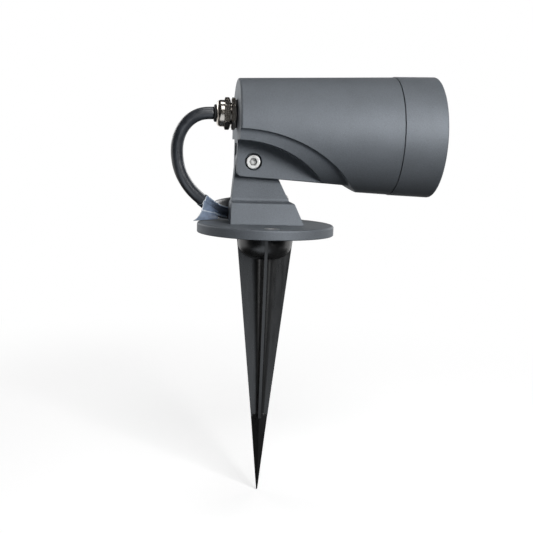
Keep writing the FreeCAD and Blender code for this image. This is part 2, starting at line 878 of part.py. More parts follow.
def make_gland_cap():
    nut = chamfered_hexagon(gland_flat, gland_nut_x, gland_nut_x + gland_nut_t)
    dome = gland_bore(gland_end_x, gland_nut_x, gland_dome_r)
    dome = dome.makeFillet(0.6 * gland_dome_l, circle_edges(dome, gland_end_x, gland_dome_r, gland_z))
    cap = nut.fuse(dome)
    cap = cap.cut(gland_bore(gland_nut_x - play, gland_nut_x + gland_nut_t, gland_neck_r + play))
    return cap.cut(gland_bore(gland_end_x, gland_nut_x, gland_mouth_r + play))


def make_gland_seal():
    seal = gland_bore(gland_nut_x, gland_hex_x, gland_seal_r)
    seal = seal.fuse(gland_bore(cord_exit_x, gland_nut_x, gland_mouth_r))
    seal = seal.makeFillet(0.5 * gland_lip_l, circle_edges(seal, cord_exit_x, gland_mouth_r, gland_z))
    return seal.cut(gland_bore(cord_exit_x, gland_hex_x, cord_r + play))


def core_offsets(spread):
    """Three places round the cable's axis, across it."""
    turns = [math.radians(d) for d in (90, 210, 330)]
    return [(spread * math.cos(t), spread * math.sin(t)) for t in turns]


def root_end_x():
    return rear_x + gland_tail + cord_r / 4


def make_cord_root():
    return gland_bore(cord_exit_x, root_end_x(), cord_r)


def supply_route(side):
    """One of the two supply wires, from the cable's end into the driver."""
    y, z = core_offsets(wire_bundle_r)[1 if side < 0 else 2]
    x0 = root_end_x()
    run = driver_x() - x0
    return [
        V(x0, y, gland_z + z),
        V(x0 + 0.3 * run, y, gland_z + z),
        V(x0 + 0.7 * run, side * wire_spread, gland_z + z),
        V(x0 + run, side * wire_spread, gland_z + z),
    ]


def earth_route():
    """The earth wire, in a loop behind the driver from the cable's end into its lug's barrel."""
    y, z = core_offsets(wire_bundle_r)[0]
    x0 = root_end_x()
    ahead = driver_x() - x0 - 2 * wire_r
    aside = earth_y - earth_lug_r - earth_barrel_l
    low = earth_barrel_z()
    drop = gland_z + z - low
    shares = [(0.35, 0.0, 1.0), (0.7, 0.0, 0.87), (0.95, 0.15, 0.55), (0.85, 0.4, 0.2), (0.65, 0.72, 0.02)]
    loop = [V(x0 + i * ahead, j * aside, low + k * drop) for i, j, k in shares]
    mouth = V(earth_x, aside, low)
    return [V(x0, y, low + drop)] + loop + [mouth, mouth + V(0, earth_barrel_l, 0)]


def earth_barrel_z():
    return chamber_z + earth_barrel_r + play


def make_supply_wires():
    routes = [supply_route(-1), supply_route(1), earth_route()]
    return Part.makeCompound([tube(smooth_route("supply wire", r), wire_r) for r in routes])


def make_earth_lug():
    """A ring tongue under the earth screw with a crimped barrel for the wire."""
    edge_y = earth_y - earth_lug_r
    barrel_y, barrel_z = edge_y - earth_barrel_l, earth_barrel_z()
    lug = rod_z(earth_lug_r, chamber_z, chamber_z + earth_lug_t, earth_x, earth_y)
    lug = lug.fuse(rod_y(earth_barrel_r, barrel_y, edge_y + earth_lug_t / 2, earth_x, barrel_z))
    lug = lug.cut(rod_y(wire_r + play, barrel_y, edge_y + play, earth_x, barrel_z))
    return lug.cut(rod_z(earth_screw_r + play, chamber_z, chamber_z + earth_lug_t, earth_x, earth_y))


def make_earth_screw():
    seat = chamber_z + earth_lug_t
    head = rod_z(earth_head_r, seat, seat + earth_head_h, earth_x, earth_y)
    socket = hexagon(earth_head_r, 0.6 * earth_head_h, V(earth_x, earth_y, seat + earth_head_h), V(0, 0, -1))
    shank = rod_z(earth_screw_r, chamber_z - earth_grip, seat, earth_x, earth_y)
    return head.fuse(shank).cut(socket)


def led_wire_z():
    return axis_z + pad_side / 2 + 2 * led_wire_r


def led_wire_end_x():
    return holder_x + holder_t / 2


def make_led_wires():
    made = []
    x0 = driver_end_x()
    gap = driver_front_gap
    z = led_wire_z()
    for side in (-1, 1):
        y = side * led_wire_spread
        points = [
            V(x0, y, z),
            V(x0 + 0.3 * gap, y, z),
            V(x0 + 0.6 * gap, y + side * led_wire_r / 4, z),
            V(x0 + 0.95 * gap, y, z),
            V(led_wire_end_x(), y, z),
        ]
        made.append(tube(smooth_route("led wire", points), led_wire_r))
    return Part.makeCompound(made)


def make_pivot_screw():
    seat = pivot_head_h + lock_washer_t - cheek_y
    head_y = seat - lock_washer_t
    head = rod_y(pivot_head_r, head_y - pivot_head_h, head_y, pivot_x, pivot_z)
    rim = edges_near(head, lambda p: abs(p.y - head_y + pivot_head_h) < 1e-4)
    head = head.makeFillet(0.2 * pivot_head_h, rim)
    shank = rod_y(pivot_r, head_y, cheek_y - play, pivot_x, pivot_z)
    drive = hexagon(2 * pivot_drive_r, pivot_drive_h, V(pivot_x, head_y - pivot_head_h, pivot_z), V(0, 1, 0))
    return head.fuse(shank).cut(drive)


def washer_y(r, hole_r, y0, y1):
    return rod_y(r, y0, y1, pivot_x, pivot_z).cut(rod_y(hole_r, y0, y1, pivot_x, pivot_z))


def make_pivot_lock_washer():
    seat = pivot_head_h + lock_washer_t - cheek_y
    return washer_y(lock_washer_r, pivot_r + pivot_run_gap, seat - lock_washer_t, seat)


def make_friction_washers():
    inner = tongue_t / 2 + play
    outer = inner + friction_washer_t
    hole = pivot_r + pivot_run_gap
    return Part.makeCompound(
        [washer_y(friction_washer_r, hole, -outer, -inner), washer_y(friction_washer_r, hole, inner, outer)]
    )


def make_pivot_nut():
    nut = hexagon(nut_flat, nut_h, V(pivot_x, cheek_y - nut_h, pivot_z), V(0, 1, 0))
    return nut.cut(rod_y(pivot_r + play, cheek_y - nut_h, cheek_y, pivot_x, pivot_z))


def coil_at(k):
    """A point of the coil after k steps, and the direction of the cable there."""
    angle = math.radians(coil_start_deg + k * coil_step_deg)
    share = min(max((k - coil_climb_from) / (coil_climb_to - coil_climb_from), 0), 1)
    rise = coil_layer * share * share * (3 - 2 * share)
    climb_turn = math.radians(coil_step_deg) * (coil_climb_to - coil_climb_from)
    slope = coil_layer * 6 * share * (1 - share) / climb_turn
    point = V(coil_x + coil_r * math.cos(angle), coil_y + coil_r * math.sin(angle), cord_z + rise)
    return point, unit(V(-coil_r * math.sin(angle), coil_r * math.cos(angle), slope))


def coil_wire():
    edges = []
    for k in range(coil_steps):
        edges += biarc(*coil_at(k), *coil_at(k + 1))
    end, heading = coil_at(coil_steps)
    edges.append(Part.LineSegment(end, end + heading * (2 * cord_r)))
    return Part.Wire([e.toShape() for e in edges])


def cord_joint():
    """The place on the cable where the free arch ends and the stretch on the plate starts."""
    above, below = V(*cord_exit_points[-1]), V(*cord_rest_points[0])
    return above + (below - above) * cord_joint_share


def bend_wire():
    points = [V(cord_exit_x, 0, gland_z)] + [V(*p) for p in cord_exit_points] + [cord_joint()]
    return smooth_route("cord_bend", points)


def lead_wire():
    end, heading = coil_at(0)
    points = [cord_joint()] + [V(*p) for p in cord_rest_points] + [end - heading * coil_lead_in, end]
    return smooth_route("cord_lead", points)


def make_cord_label():
    """A film sleeve on the cable with a flag that hangs to the plate on its near side."""
    path = Part.Wire(lead_wire().OrderedEdges[:2])
    inner_r = cord_r + label_gap
    sleeve = tube(path, inner_r + label_t).cut(tube(path, inner_r))
    start = cord_joint()
    along = path.OrderedEdges[0].tangentAt(0)
    level = unit(V(along.x, along.y, 0))
    near = V(level.y, -level.x, 0)
    fall = along.z / along.dot(level)
    floor = plate_t + cord_lift
    corners = [
        (0, start.z),
        (label_len, start.z + fall * label_len),
        (label_len, floor + label_lift),
        (-2 * label_slant, floor + label_lift),
        (-3 * label_slant, floor),
        (-1.3 * label_slant, floor + 4 * label_lift),
        (-label_slant, start.z - cord_r),
    ]
    flag = [V(start.x, start.y, z) + level * ahead for ahead, z in corners]
    sheet = Part.Face(Part.makePolygon(flag + flag[:1])).extrude(near * label_t)
    sheet.translate(near * (inner_r + label_t / 3))
    return sleeve.fuse(sheet).removeSplitter()


def round_ended(r, rise):
    """A face with round ends, upright from the origin, that reaches r past a line as long as the rise."""
    right, left = V(r, 0, 0), V(-r, 0, 0)
    up = V(0, 0, rise)
    edges = [
        Part.LineSegment(right, right + up),
        Part.Arc(right + up, up + V(0, 0, r), left + up),
        Part.LineSegment(left + up, left),
        Part.Arc(left, V(0, 0, -r), right),
    ]
    return Part.Face(Part.Wire([e.toShape() for e in edges]))


def make_coil_tie():
    """A band round the two turns of the coil, drawn tight through a head on the coil's inner side."""
    inner_r = cord_r + tie_gap
    outer_r = inner_r + tie_t
    middle = coil_layer / 2
    band = round_ended(outer_r, coil_layer)
    head = box(
        -outer_r - tie_head_t, -outer_r + tie_t / 2,
        (tie_w - tie_head_w) / 2, (tie_w + tie_head_w) / 2,
        middle - tie_head_h / 2, middle + tie_head_h / 2,
    )
    across = V(0, tie_w, 0)
    tie = band.extrude(across).fuse(head).cut(round_ended(inner_r, coil_layer).extrude(across))
    tie.translate(V(0, -tie_w / 2, 0))
    tie.rotate(V(0, 0, 0), V(0, 0, 1), coil_start_deg + tie_step * coil_step_deg)
    tie.translate(coil_at(tie_step)[0])
    return tie


def core_routes():
    """The three conductors, which leave the sheath, curl inwards with the coil and fan out."""
    end, heading = coil_at(coil_steps)
    start = end + heading * (2 * cord_r + core_lead_in)
    out = unit(V(heading.y, -heading.x, 0))
    routes = []
    for a, b in core_offsets(core_bundle_r):
        route = [start - heading * core_lead_in + out * a + V(0, 0, b)]
        for k in range(4):
            turn = k / 3 * core_len / core_bend_r
            ahead = heading * (core_bend_r * math.sin(turn))
            inwards = out * (core_bend_r * (math.cos(turn) - 1))
            across = out * math.cos(turn) + heading * math.sin(turn)
            fan = 1 + core_fan * (k / 3) ** 2
            route.append(start + ahead + inwards + across * (a * fan) + V(0, 0, b))
        routes.append(route)
    return routes


def make_cord_conductors():
    return Part.makeCompound([tube(smooth_route("conductor", r), core_r) for r in core_routes()])


def make_conductor_tips():
    made = []
    for route in core_routes():
        made.append(Part.makeCylinder(core_tip_r, core_tip_len, route[-1], unit(route[-1] - route[-2])))
    return Part.makeCompound(made)


def report_cord():
    bend, lead, coil = bend_wire(), lead_wire(), coil_wire()
    print("cord lengths", [round(w.Length, 1) for w in (bend, lead, coil)])
    print("cord total", round(bend.Length + lead.Length + coil.Length, 1))
    points = lead.discretize(Distance=2.0) + coil.discretize(Distance=2.0)
    least = min(
        (p - q).Length
        for i, p in enumerate(points)
        for q in points[i + 14 :]
    )
    print("least gap of the cord to itself", round(least - 2 * cord_r, 2))


def main():
    os.makedirs("parts", exist_ok=True)
    bend, lead, coil = bend_wire(), lead_wire(), coil_wire()
    nodes = {
        "base_plate": make_base_plate(),
        "stand": make_stand(),
        "stand_screws": make_stand_screws(),
        "spike": make_spike(),
        "spike_stud": make_spike_stud(),
        "head_housing": make_head_housing(),
        "front_ring": make_front_ring(),
        "front_glass": make_front_glass(),
        "glass_gasket": make_glass_gasket(),
        "neck_o_ring": make_neck_o_ring(),
        "led_plate": make_led_plate(),
        "led_plate_screws": make_led_plate_screws(),
        "thermal_pad": make_thermal_pad(),
        "led_board": make_led_board(),
        "led_emitter": make_led_emitter(),
        "led_holder": make_led_holder(),
        "holder_screws": make_holder_screws(),
        "reflector": make_reflector(),
        "driver": make_driver(),
        "driver_pad": make_driver_pad(),
        "gland_gasket": make_gland_gasket(),
        "gland_body": make_gland_body(),
        "gland_locknut": make_gland_locknut(),
        "gland_seal": make_gland_seal(),
        "gland_cap": make_gland_cap(),
        "supply_wires": make_supply_wires(),
        "led_wires": make_led_wires(),
        "earth_lug": make_earth_lug(),
        "earth_screw": make_earth_screw(),
        "pivot_screw": make_pivot_screw(),
        "pivot_lock_washer": make_pivot_lock_washer(),
        "friction_washers": make_friction_washers(),
        "pivot_nut": make_pivot_nut(),
        "cord_root": make_cord_root(),
        "cord_bend": tube(bend, cord_r),
        "cord_lead": tube(lead, cord_r),
        "cord_coil": tube(coil, cord_r),
        "cord_label": make_cord_label(),
        "coil_tie": make_coil_tie(),
        "cord_conductors": make_cord_conductors(),
        "conductor_tips": make_conductor_tips(),
    }
    report_cord()
    for name, wire in (("cord_bend", bend), ("cord_lead", lead), ("cord_coil", coil)):
        print(name, "volume over section times length", volume_ratio(nodes[name], wire, cord_r))
    for name, shape in nodes.items():
        print(name, len(shape.Solids), shape.isValid(), round(shape.Volume, 1))
        shape.exportStep("parts/" + name + ".step")


main()
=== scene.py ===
"""Looks of the spike spot light: cable, film label, finish of every piece, floor, light and camera."""

import json
import math

import bpy
from mathutils import Matrix, Vector


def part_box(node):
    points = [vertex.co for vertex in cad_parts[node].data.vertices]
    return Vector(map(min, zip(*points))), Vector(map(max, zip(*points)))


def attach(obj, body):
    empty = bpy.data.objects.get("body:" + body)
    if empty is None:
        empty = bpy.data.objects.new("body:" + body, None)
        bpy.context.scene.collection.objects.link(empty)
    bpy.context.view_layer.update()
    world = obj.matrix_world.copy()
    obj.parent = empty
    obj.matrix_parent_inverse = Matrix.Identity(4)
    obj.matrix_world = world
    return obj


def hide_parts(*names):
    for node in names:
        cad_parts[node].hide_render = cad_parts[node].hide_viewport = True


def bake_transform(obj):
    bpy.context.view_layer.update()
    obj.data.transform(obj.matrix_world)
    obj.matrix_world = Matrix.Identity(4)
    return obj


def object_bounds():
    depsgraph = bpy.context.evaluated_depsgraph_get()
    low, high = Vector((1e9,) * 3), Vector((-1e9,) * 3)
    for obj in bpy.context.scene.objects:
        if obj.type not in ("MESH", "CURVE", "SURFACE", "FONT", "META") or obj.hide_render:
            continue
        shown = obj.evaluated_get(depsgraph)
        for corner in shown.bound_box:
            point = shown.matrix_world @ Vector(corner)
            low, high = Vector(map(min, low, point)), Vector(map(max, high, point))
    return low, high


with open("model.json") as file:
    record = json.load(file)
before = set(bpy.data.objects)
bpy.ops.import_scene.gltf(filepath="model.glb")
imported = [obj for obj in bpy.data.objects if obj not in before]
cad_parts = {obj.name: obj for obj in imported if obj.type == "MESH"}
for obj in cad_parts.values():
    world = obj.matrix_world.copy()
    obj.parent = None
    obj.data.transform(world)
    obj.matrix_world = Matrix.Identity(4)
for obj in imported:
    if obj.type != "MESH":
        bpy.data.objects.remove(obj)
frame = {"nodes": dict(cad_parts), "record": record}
cad_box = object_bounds()
nodes = frame["nodes"]
scene = bpy.context.scene
scene.view_settings.view_transform = "Standard"

# Camera, at the photograph's viewing angle
camera_place = (-0.06724, -0.55618, 0.05971)
camera_yaw = 0.1234
camera_pitch = 0.1456
camera_roll = 0.0335
camera_lens = 57.47
camera_sensor = 36.0
camera_nearest = 0.01

# Cable: its route from the gland to the coil behind the stand
cable_r = 0.004
cable_exit = (-0.0357, 0.0, 0.0768)
cable_arch = [
    (-0.0410, 0.0, 0.0768),
    (-0.0472, 0.0, 0.0749),
    (-0.0526, 0.0002, 0.0708),
    (-0.0566, 0.0006, 0.0650),
    (-0.0589, 0.0012, 0.0574),
    (-0.0589, 0.0020, 0.0486),
    (-0.0570, 0.0029, 0.0396),
    (-0.0526, 0.0046, 0.0312),
    (-0.0466, 0.0068, 0.0240),
]
cable_rest = [
    (-0.0325, 0.0132, 0.0129),
    (-0.0230, 0.0172, 0.0108),
    (-0.01202, 0.01812, 0.0107),
]
joint_share = 0.36
cable_edge = cable_r / 10
cable_sides = 40
cable_resolution = 10

# Coil: half a turn level with the plate's top, a climb, and a third of a turn above its own start
coil_centre = (-0.0062, 0.0427)
coil_r = 0.0232
coil_low_z = 0.0107
coil_layer = 0.0088
coil_from_deg = -65
coil_to_deg = 385
coil_step_deg = 30
coil_climb_deg = (120, 280)
coil_end_deg = 400
coil_end_run = 0.008

# Conductors at the cable's free end
core_lead_in = 0.004
core_bend_r = 0.016
core_top_z = 0.00048
core_stripe_z = -0.00095

# Countersinks of the plate's fixing holes
sink_reach = 0.035
sink_r = 0.0052
sink_below = 0.00012

# Light engine: cells to a metre of the hammered reflector and of the LED's grid of chips
reflector_cells = 420
chip_cells = 700

# Film label: a sleeve on the cable and a flag that hangs from it to the plate
film_t = 0.00012
sleeve_r = 0.00428
sleeve_len = 0.0205
sleeve_steps = 30
sleeve_sides = 56
sleeve_ripple = cable_r / 90
seam_height = 0.0007
seam_spread = 0.16
seam_turns = (0.6, 2.2)
flag_len = 0.0100
flag_slant = 0.0029
flag_lift = 0.0009
flag_gap = film_t * 3
flag_cells = 20
flag_swell = 0.0011
flag_swell_turn = 2.4
# How milky the film is, from 0 to 1, and where along a piece, as shares of its length. The milky light
# bands at the film's cut edges and fold are painted highlights.
sleeve_milk = 0.45
sleeve_clears = (0.1, 0.6)
flag_milk = (0.62, 0.37)
far_edge_highlight = 0.7
far_highlight_width = 0.04
edge_highlight_width = 0.05
fold_at = 0.36

# Floor, room and what reflections show of them
floor_drop = 0.0006
floor_r = 4.0
floor_sides = 96
floor_fade = (0.25, 0.6)
floor_behind = (-0.3, 0.1)
floor_lift = 0.37
floor_white = (0.93, 0.93, 0.93)
floor_dim = (0.05, 0.05, 0.05)
room_tint = (0.97, 0.985, 1.0)
room_light = 0.010
room_gloss = 0.035
backdrop_behind = (-0.1, 0.3)
backdrop_top = (0.12, 0.4)
card_way = (0.12, -1.0, -0.04)
card_spread = (0.94, 0.99)
card_strength = 0.06
board_ahead = (0.06, 0.17)
board_right = (0.02, 0.085)
board_left = (-0.30, -0.16)
board_strength = 0.9
board_tint = (0.92, 0.98, 1.05)

# Lamps: place, width, height and power
lamp_target = (0.03, 0, 0.04)
lamps = {
    "key": ((0.326, -0.664, 0.262), 0.36, 0.28, 4.6),
    "top": ((0.164, -0.760, 0.959), 0.6, 0.6, 3.2),
    "overhead": ((0.030, 0.134, 1.132), 0.42, 0.42, 1.8),
    "back_left": ((-0.797, 0.919, 0.442), 0.8, 0.6, 5.0),
    "back_right": ((0.857, 0.919, 0.442), 0.8, 0.6, 5.0),
}


def smoothstep(share):
    share = min(max(share, 0), 1)
    return share * share * (3 - 2 * share)


# Camera and cable


def make_camera():
    ahead = Vector(
        (
            math.sin(camera_yaw) * math.cos(camera_pitch),
            math.cos(camera_yaw) * math.cos(camera_pitch),
            -math.sin(camera_pitch),
        )
    )
    level = Vector((math.cos(camera_yaw), -math.sin(camera_yaw), 0))
    turn = Matrix.Rotation(camera_roll, 3, -ahead)
    right, up = turn @ level, turn @ level.cross(ahead)
    data = bpy.data.cameras.new("camera")
    data.sensor_width = camera_sensor
    data.lens = camera_lens
    data.clip_start = camera_nearest
    camera = bpy.data.objects.new("camera", data)
    scene.collection.objects.link(camera)
    axes = Matrix((right, up, -ahead)).transposed()
    camera.matrix_world = Matrix.Translation(camera_place) @ axes.to_4x4()
    scene.camera = camera


def coil_point(degrees, r):
    """A point of the coil by its turn and distance from the middle. It climbs a layer on its far side."""
    turn = math.radians(degrees)
    start, end = coil_climb_deg
    rise = coil_layer * smoothstep((degrees - start) / (end - start))
    return Vector(
        (
            coil_centre[0] + r * math.cos(turn),
            coil_centre[1] + r * math.sin(turn),
            coil_low_z + rise,
        )
    )


def coil_end():
    """The cable's free end and its direction there."""
    turn = math.radians(coil_end_deg)
    heading = Vector((-math.sin(turn), math.cos(turn), 0))
    return coil_point(coil_end_deg, coil_r) + heading * coil_end_run, heading


def cable_route():
    """The cable's control points: arch, stretch on the plate, the coil's turns and free end."""
    outside_r = coil_r / math.cos(math.radians(coil_step_deg / 2))
    turns = range(coil_from_deg, coil_to_deg + 1, coil_step_deg)
    coil = [coil_point(degrees, outside_r) for degrees in turns]
    return [cable_exit] + cable_arch + cable_rest + coil + [coil_end()[0]]


def line_through(route):
    """Points along the smooth line that has the route as its control points."""
    data = bpy.data.curves.new("cable_line", "CURVE")
    data.dimensions = "3D"
    data.resolution_u = cable_resolution
    spline = data.splines.new("NURBS")
    spline.points.add(len(route) - 1)
    for point, place in zip(spline.points, route):
        point.co = (*place, 1)
    spline.order_u = 3
    spline.use_endpoint_u = True
    curve = bpy.data.objects.new("cable_line", data)
    mesh = bpy.data.meshes.new_from_object(curve)
    line = [vertex.co.copy() for vertex in mesh.vertices]
    bpy.data.meshes.remove(mesh)
    bpy.data.objects.remove(curve)
    bpy.data.curves.remove(data)
    return line


def headings_of(line):
    ends = zip([line[0]] + line[:-1], line[1:] + [line[-1]])
    return [(after - before).normalized() for before, after in ends]


def crosswise(headings, first):
    """Two directions across the line at each point, carried along it without a twist."""
    across = first
    for heading in headings:
        across = (across - heading * across.dot(heading)).normalized()
        yield across, heading.cross(across)


def ring(middle, across, other, r, sides):
    turns = [2 * math.pi * k / sides for k in range(sides)]
    return [middle + (across * math.cos(t) + other * math.sin(t)) * r for t in turns]


def new_object(name, points, faces):
    mesh = bpy.data.meshes.new(name)
    mesh.from_pydata([tuple(p) for p in points], [], faces)
    mesh.validate()
    mesh.shade_smooth()
    made = bpy.data.objects.new(name, mesh)
    scene.collection.objects.link(made)
    return made


def tube_faces(rings, sides):
    faces = []
    for k in range(rings - 1):
        for j in range(sides):
            a, b = k * sides + j, k * sides + (j + 1) % sides
            faces.append((a, b, b + sides, a + sides))
    return faces


def make_cable(line):
    """The sheath as a closed tube, with a softly rounded cut at its free end."""
    headings = headings_of(line)
    frames = list(crosswise(headings, Vector((0, 1, 0))))
    rings = [ring(p, a, b, cable_r, cable_sides) for p, (a, b) in zip(line, frames)]
    end, (across, other) = line[-1], frames[-1]
    rings[-1] = ring(end - headings[-1] * cable_edge, across, other, cable_r, cable_sides)
    rings.append(ring(end, across, other, cable_r - cable_edge, cable_sides))
    points = [p for one in rings for p in one]
    faces = tube_faces(len(rings), cable_sides)
    faces.append(tuple(reversed(range(cable_sides))))
    faces.append(tuple(range(len(points) - cable_sides, len(points))))
    return new_object("cable", points, faces)


make_camera()
cable_joint = Vector(cable_arch[-1]).lerp(Vector(cable_rest[0]), joint_share)
cable_line = line_through(cable_route())
cable = make_cable(cable_line)


# Film label


def mark(made, values):
    """Keeps how milky the film is at each point of a piece, with the painted highlights on its edges,
    seam and fold.
    """
    layer = made.data.attributes.new("milk_and_highlight", "FLOAT", "POINT")
    layer.data.foreach_set("value", values)


def peak(share, at, spread):
    """1 at a place and falling off smoothly to both sides of it."""
    return math.exp(-(((share - at) / spread) ** 2))


def thicken(made):
    solid = made.modifiers.new("film", "SOLIDIFY")
    solid.thickness = film_t
    solid.offset = 0


def label_line():
    """The stretch of the cable's line that carries the sleeve, evenly stepped from the joint on."""
    start = min(range(len(cable_line)), key=lambda k: (cable_line[k] - cable_joint).length)
    places, run = [], 0.0
    for k in range(start, len(cable_line) - 1):
        step = (cable_line[k + 1] - cable_line[k]).length
        while len(places) * sleeve_len / sleeve_steps <= run + step and len(places) <= sleeve_steps:
            share = (len(places) * sleeve_len / sleeve_steps - run) / step
            places.append(cable_line[k].lerp(cable_line[k + 1], share))
        run += step
    return places


def make_sleeve():
    """Film round the cable, with its edges and welded seam as low fins along the cable's upper side. Its
    cut start and the fins are painted light, as painted highlights.
    """
    line = label_line()
    frames = crosswise(headings_of(line), Vector((0, 0, 1)))
    start, end = sleeve_clears
    points, milk_and_highlight = [], []
    for k, (middle, (across, other)) in enumerate(zip(line, frames)):
        share = k / sleeve_steps
        cloudy = sleeve_milk * (1 - smoothstep((share - start) / (end - start)))
        for j in range(sleeve_sides):
            turn = 2 * math.pi * j / sleeve_sides
            fin = max(peak(turn, seam, seam_spread) for seam in seam_turns)
            ripple = math.sin(3 * turn + 9 * share) * math.sin(17 * share + turn)
            r = sleeve_r + fin * seam_height + ripple * sleeve_ripple
            points.append(middle + (across * math.cos(turn) + other * math.sin(turn)) * r)
            # Painted highlight: the cut start and the seam fins are made milky and light, on top of the
            # film's real cloudiness.
            milk_and_highlight.append(max(peak(share, 0, edge_highlight_width), fin, cloudy))
    faces = tube_faces(len(line), sleeve_sides)
    made = new_object("label_sleeve", points, faces)
    mark(made, milk_and_highlight)
    thicken(made)
    return made


def flag_frame():
    """The level direction along the cable at the joint, the one to its near side, and its fall."""
    along = Vector(cable_rest[0]) - Vector(cable_arch[-1])
    level = Vector((along.x, along.y, 0)).normalized()
    return level, Vector((level.y, -level.x, 0)), along.z / along.dot(level)


def curve_through(a, b, c, share):
    """A point on the bowed edge from a to c that leans towards b."""
    return a * (1 - share) ** 2 + b * 2 * share * (1 - share) + c * share**2


def make_flag():
    """The film's loose end, which hangs from the sleeve with its drawn-out corner on the plate."""
    level, aside_way, fall = flag_frame()
    foot = Vector((cable_joint.x, cable_joint.y, 0))
    plate_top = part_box("base_plate")[1].z + flag_gap
    top = cable_joint.z
    left = [Vector((-flag_slant * 0.5, 0, top)), Vector((-flag_slant, 0, plate_top + 4 * flag_lift))]
    left.append(Vector((-3 * flag_slant, 0, plate_top)))
    right = [Vector((flag_len, 0, top + fall * flag_len)), Vector((flag_len, 0, plate_top + flag_lift))]
    points, milk_and_highlight = [], []
    for k in range(flag_cells + 1):
        down = k / flag_cells
        a, b = curve_through(*left, down), right[0].lerp(right[1], down)
        for j in range(flag_cells + 1):
            aside = j / flag_cells
            place = a.lerp(b, aside)
            swell = flag_swell * math.sin(math.pi * down) * math.cos(flag_swell_turn * aside)
            flat = foot + level * place.x + aside_way * (sleeve_r + swell)
            points.append(flat + Vector((0, 0, place.z)))
            # Painted highlight: milky light bands along the flag's edges and its fold.
            rim_highlight = max(peak(aside, 0, edge_highlight_width), peak(aside, 1, far_highlight_width) * far_edge_highlight)
            cloudy = flag_milk[0] + (flag_milk[1] - flag_milk[0]) * aside
            milk_and_highlight.append(max(rim_highlight, peak(down, fold_at, edge_highlight_width), cloudy))
    faces = []
    for k in range(flag_cells):
        for j in range(flag_cells):
            a = k * (flag_cells + 1) + j
            faces.append((a, a + flag_cells + 1, a + flag_cells + 2, a + 1))
    made = new_object("label_flag", points, faces)
    mark(made, milk_and_highlight)
    thicken(made)
    return made


label_sleeve = make_sleeve()
label_flag = make_flag()


# Material building blocks


def new_material(name, roughness, metallic=0.0, specular=0.5):
    made = bpy.data.materials.new(name)
    made.use_nodes = True
    shader = made.node_tree.nodes["Principled BSDF"]
    shader.inputs["Roughness"].default_value = roughness
    shader.inputs["Metallic"].default_value = metallic
    shader.inputs["Specular IOR Level"].default_value = specular
    return made, made.node_tree, shader


def add(tree, kind, *links, **settings):
    """Adds a node with its settings, and links the given sockets to its first inputs."""
    made = tree.nodes.new(kind)
    for name, value in settings.items():
        setattr(made, name, value)
    for socket, target in zip(links, made.inputs):
        if socket is not None:
            tree.links.new(socket, target)
    return made


def place_in(tree, stretch=(1, 1, 1)):
    """The place on the piece, in metres, stretched by direction."""
    place = add(tree, "ShaderNodeTexCoord").outputs["Object"]
    scaled = add(tree, "ShaderNodeVectorMath", place, operation="MULTIPLY")
    scaled.inputs[1].default_value = stretch
    return scaled.outputs[0]


def noise(tree, grain, detail=3.0, stretch=(1, 1, 1)):
    """Cloudy noise whose lumps are about as large as the grain, in metres."""
    made = add(tree, "ShaderNodeTexNoise", place_in(tree, stretch))
    made.inputs["Scale"].default_value = 1 / grain
    made.inputs["Detail"].default_value = detail
    return made.outputs["Fac"]


def ramp(tree, factor, *stops):
    """Colours or greys at places from 0 to 1."""
    made = add(tree, "ShaderNodeValToRGB", factor)
    elements = made.color_ramp.elements
    while len(elements) < len(stops):
        elements.new(0.5)
    for element, (at, colour) in zip(elements, stops):
        element.position = at
        element.color = (colour,) * 3 + (1,) if isinstance(colour, float) else (*colour, 1)
    return made.outputs["Color"]


def shade(colour, factor):
    return tuple(c * factor for c in colour)


def mix(tree, factor, a, b, blend="MIX"):
    """Mixes two colours, each a socket or a plain colour."""
    made = add(tree, "ShaderNodeMix", data_type="RGBA", blend_type=blend)
    for value, target in ((factor, made.inputs[0]), (a, made.inputs[6]), (b, made.inputs[7])):
        if isinstance(value, bpy.types.NodeSocket):
            tree.links.new(value, target)
        else:
            target.default_value = value if isinstance(value, float) else (*value, 1)
    return made.outputs[2]


def bump(tree, height, distance, strength=1.0, normal=None):
    made = add(tree, "ShaderNodeBump")
    made.inputs["Strength"].default_value = strength
    made.inputs["Distance"].default_value = distance
    tree.links.new(height, made.inputs["Height"])
    if normal is not None:
        tree.links.new(normal, made.inputs["Normal"])
    return made.outputs["Normal"]


def soft_edges(tree, radius):
    """The surface's direction with its sharp edges rounded to a small radius."""
    made = add(tree, "ShaderNodeBevel")
    made.inputs["Radius"].default_value = radius
    return made.outputs["Normal"]


def finish(tree, shader, colour=None, roughness=None, normal=None):
    for socket, name in ((colour, "Base Color"), (roughness, "Roughness"), (normal, "Normal")):
        if socket is not None:
            tree.links.new(socket, shader.inputs[name])


# Finishes


def bare_sinks(tree):
    """1 on the plate's countersinks, which are cut through the coat to bare metal, and 0 elsewhere."""
    apart = add(tree, "ShaderNodeSeparateXYZ", place_in(tree))
    reach = add(tree, "ShaderNodeMath", apart.outputs["Y"], operation="ABSOLUTE").outputs[0]
    centre = add(tree, "ShaderNodeCombineXYZ", apart.outputs["X"], reach)
    from_axis = add(tree, "ShaderNodeVectorMath", centre.outputs[0], operation="DISTANCE")
    from_axis.inputs[1].default_value = (0, sink_reach, 0)
    inside = add(tree, "ShaderNodeMath", from_axis.outputs["Value"], operation="LESS_THAN")
    inside.inputs[1].default_value = sink_r
    low = add(tree, "ShaderNodeMath", apart.outputs["Z"], operation="LESS_THAN")
    low.inputs[1].default_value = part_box("base_plate")[1].z - sink_below
    both = add(tree, "ShaderNodeMath", inside.outputs[0], low.outputs[0], operation="MULTIPLY")
    return both.outputs[0]


